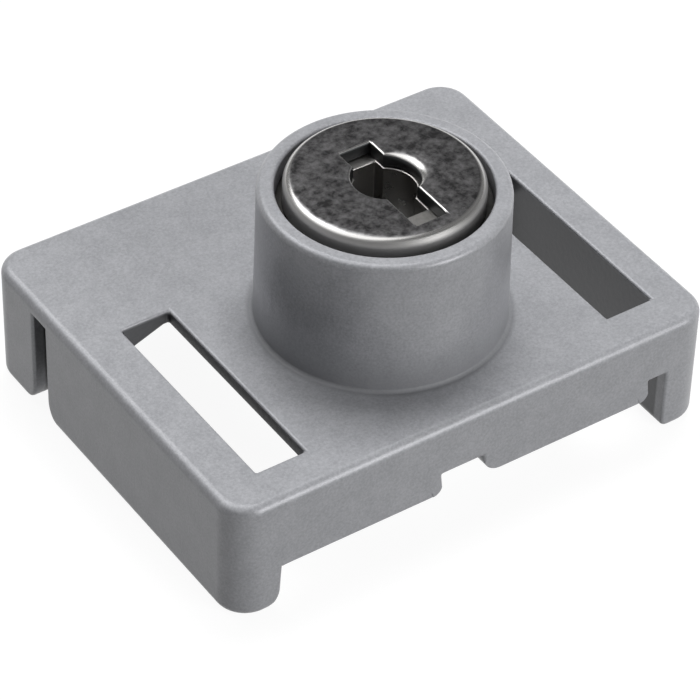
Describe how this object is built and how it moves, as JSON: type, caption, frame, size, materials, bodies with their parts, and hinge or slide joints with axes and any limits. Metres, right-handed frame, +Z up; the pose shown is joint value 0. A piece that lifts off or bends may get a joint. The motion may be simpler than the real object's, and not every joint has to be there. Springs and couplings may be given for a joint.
{
  "type": "window security lock",
  "caption": "Key-operated clamp lock for a sliding window's track: a die-cast body with a round lock boss stands over the rail, and a jaw under it grips the rail.",
  "frame": {"origin": "middle of the housing's footprint, at the height of the end blocks' feet", "axes": "+X runs along the rail towards the end with the wider skirt notch, +Y runs across the rail towards the anvil at the back, +Z points up through the lock boss"},
  "size_m": [0.0484, 0.039, 0.026],
  "materials": {
    "enamel": "silver-grey metallic paint on die-cast zinc",
    "cap_steel": "galvanised, mottled dark grey, with bright edges",
    "nickel": "nickel-plated turned brass",
    "brass": "turned brass",
    "steel": "zinc-plated pressed steel",
    "hard_steel": "hardened steel",
    "screw_steel": "bright zinc plate",
    "black_rubber": "matt moulded rubber"
  },
  "bodies": {
    "lock_body": {"housing": "enamel", "anvil_pad": "black_rubber", "lock_barrel": "nickel", "drill_pins": "hard_steel", "face_cap": "cap_steel", "barrel_seal": "black_rubber", "barrel_clip": "steel", "stop_pin": "hard_steel", "thrust_washer": "brass", "core_circlip": "hard_steel", "guide_plate": "steel", "guide_screws": "screw_steel"},
    "core": {"key_core": "nickel", "core_seal": "black_rubber", "crank": "hard_steel", "drive_dowels": "hard_steel", "shutter_spring": "screw_steel"},
    "key_shutter": {"shutter": "hard_steel"},
    "jaw": {"jaw_slide": "steel", "jaw_pad": "black_rubber", "pad_rivets": "screw_steel"}
  },
  "joints": [
    {"name": "core_turn", "type": "hinge", "parent": "lock_body", "child": "core", "pos_m": [0.0004, -0.0041, 0.015], "axis": [0, 0, 1], "range_deg": [0, 90]},
    {"name": "jaw_clamp", "type": "slide", "parent": "lock_body", "child": "jaw", "axis": [0, 1, 0], "range_m": [0, 0.00269]},
    {"name": "shutter_press", "type": "slide", "parent": "core", "child": "key_shutter", "axis": [0, 0, -1], "range_m": [0, 0.0025], "stiffness_N_per_m": 980, "springref_m": -0.0005, "deforming": ["shutter_spring"]}
  ],
  "couplings": [
    {"joint": "core_turn", "follows": "jaw_clamp", "rad_per_m": 584.59}
  ]
}
